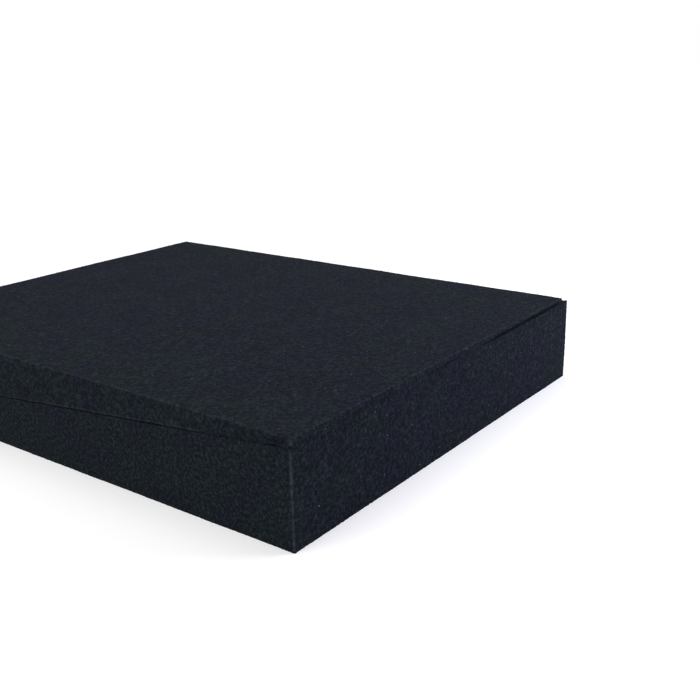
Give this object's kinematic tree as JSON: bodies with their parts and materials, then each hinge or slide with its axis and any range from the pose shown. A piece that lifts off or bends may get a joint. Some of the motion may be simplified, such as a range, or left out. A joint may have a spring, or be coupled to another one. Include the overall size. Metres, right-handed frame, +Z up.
{
  "type": "speaker isolation pad",
  "caption": "Dark foam wedges laid together into a level pad that a speaker stands on to keep its vibration off the desk.",
  "frame": {"origin": "middle of the pad's footprint, on the underside", "axes": "+Z up, +Y from the front face to the rear, +X along the front face to the right"},
  "size_m": [0.27, 0.33, 0.0535],
  "materials": {
    "base_foam": "matt open-cell foam, cut faces",
    "top_foam": "matt open-cell foam, cut faces"
  },
  "bodies": {
    "root": {"base_wedge": "base_foam", "top_wedge": "top_foam"}
  },
  "joints": []
}
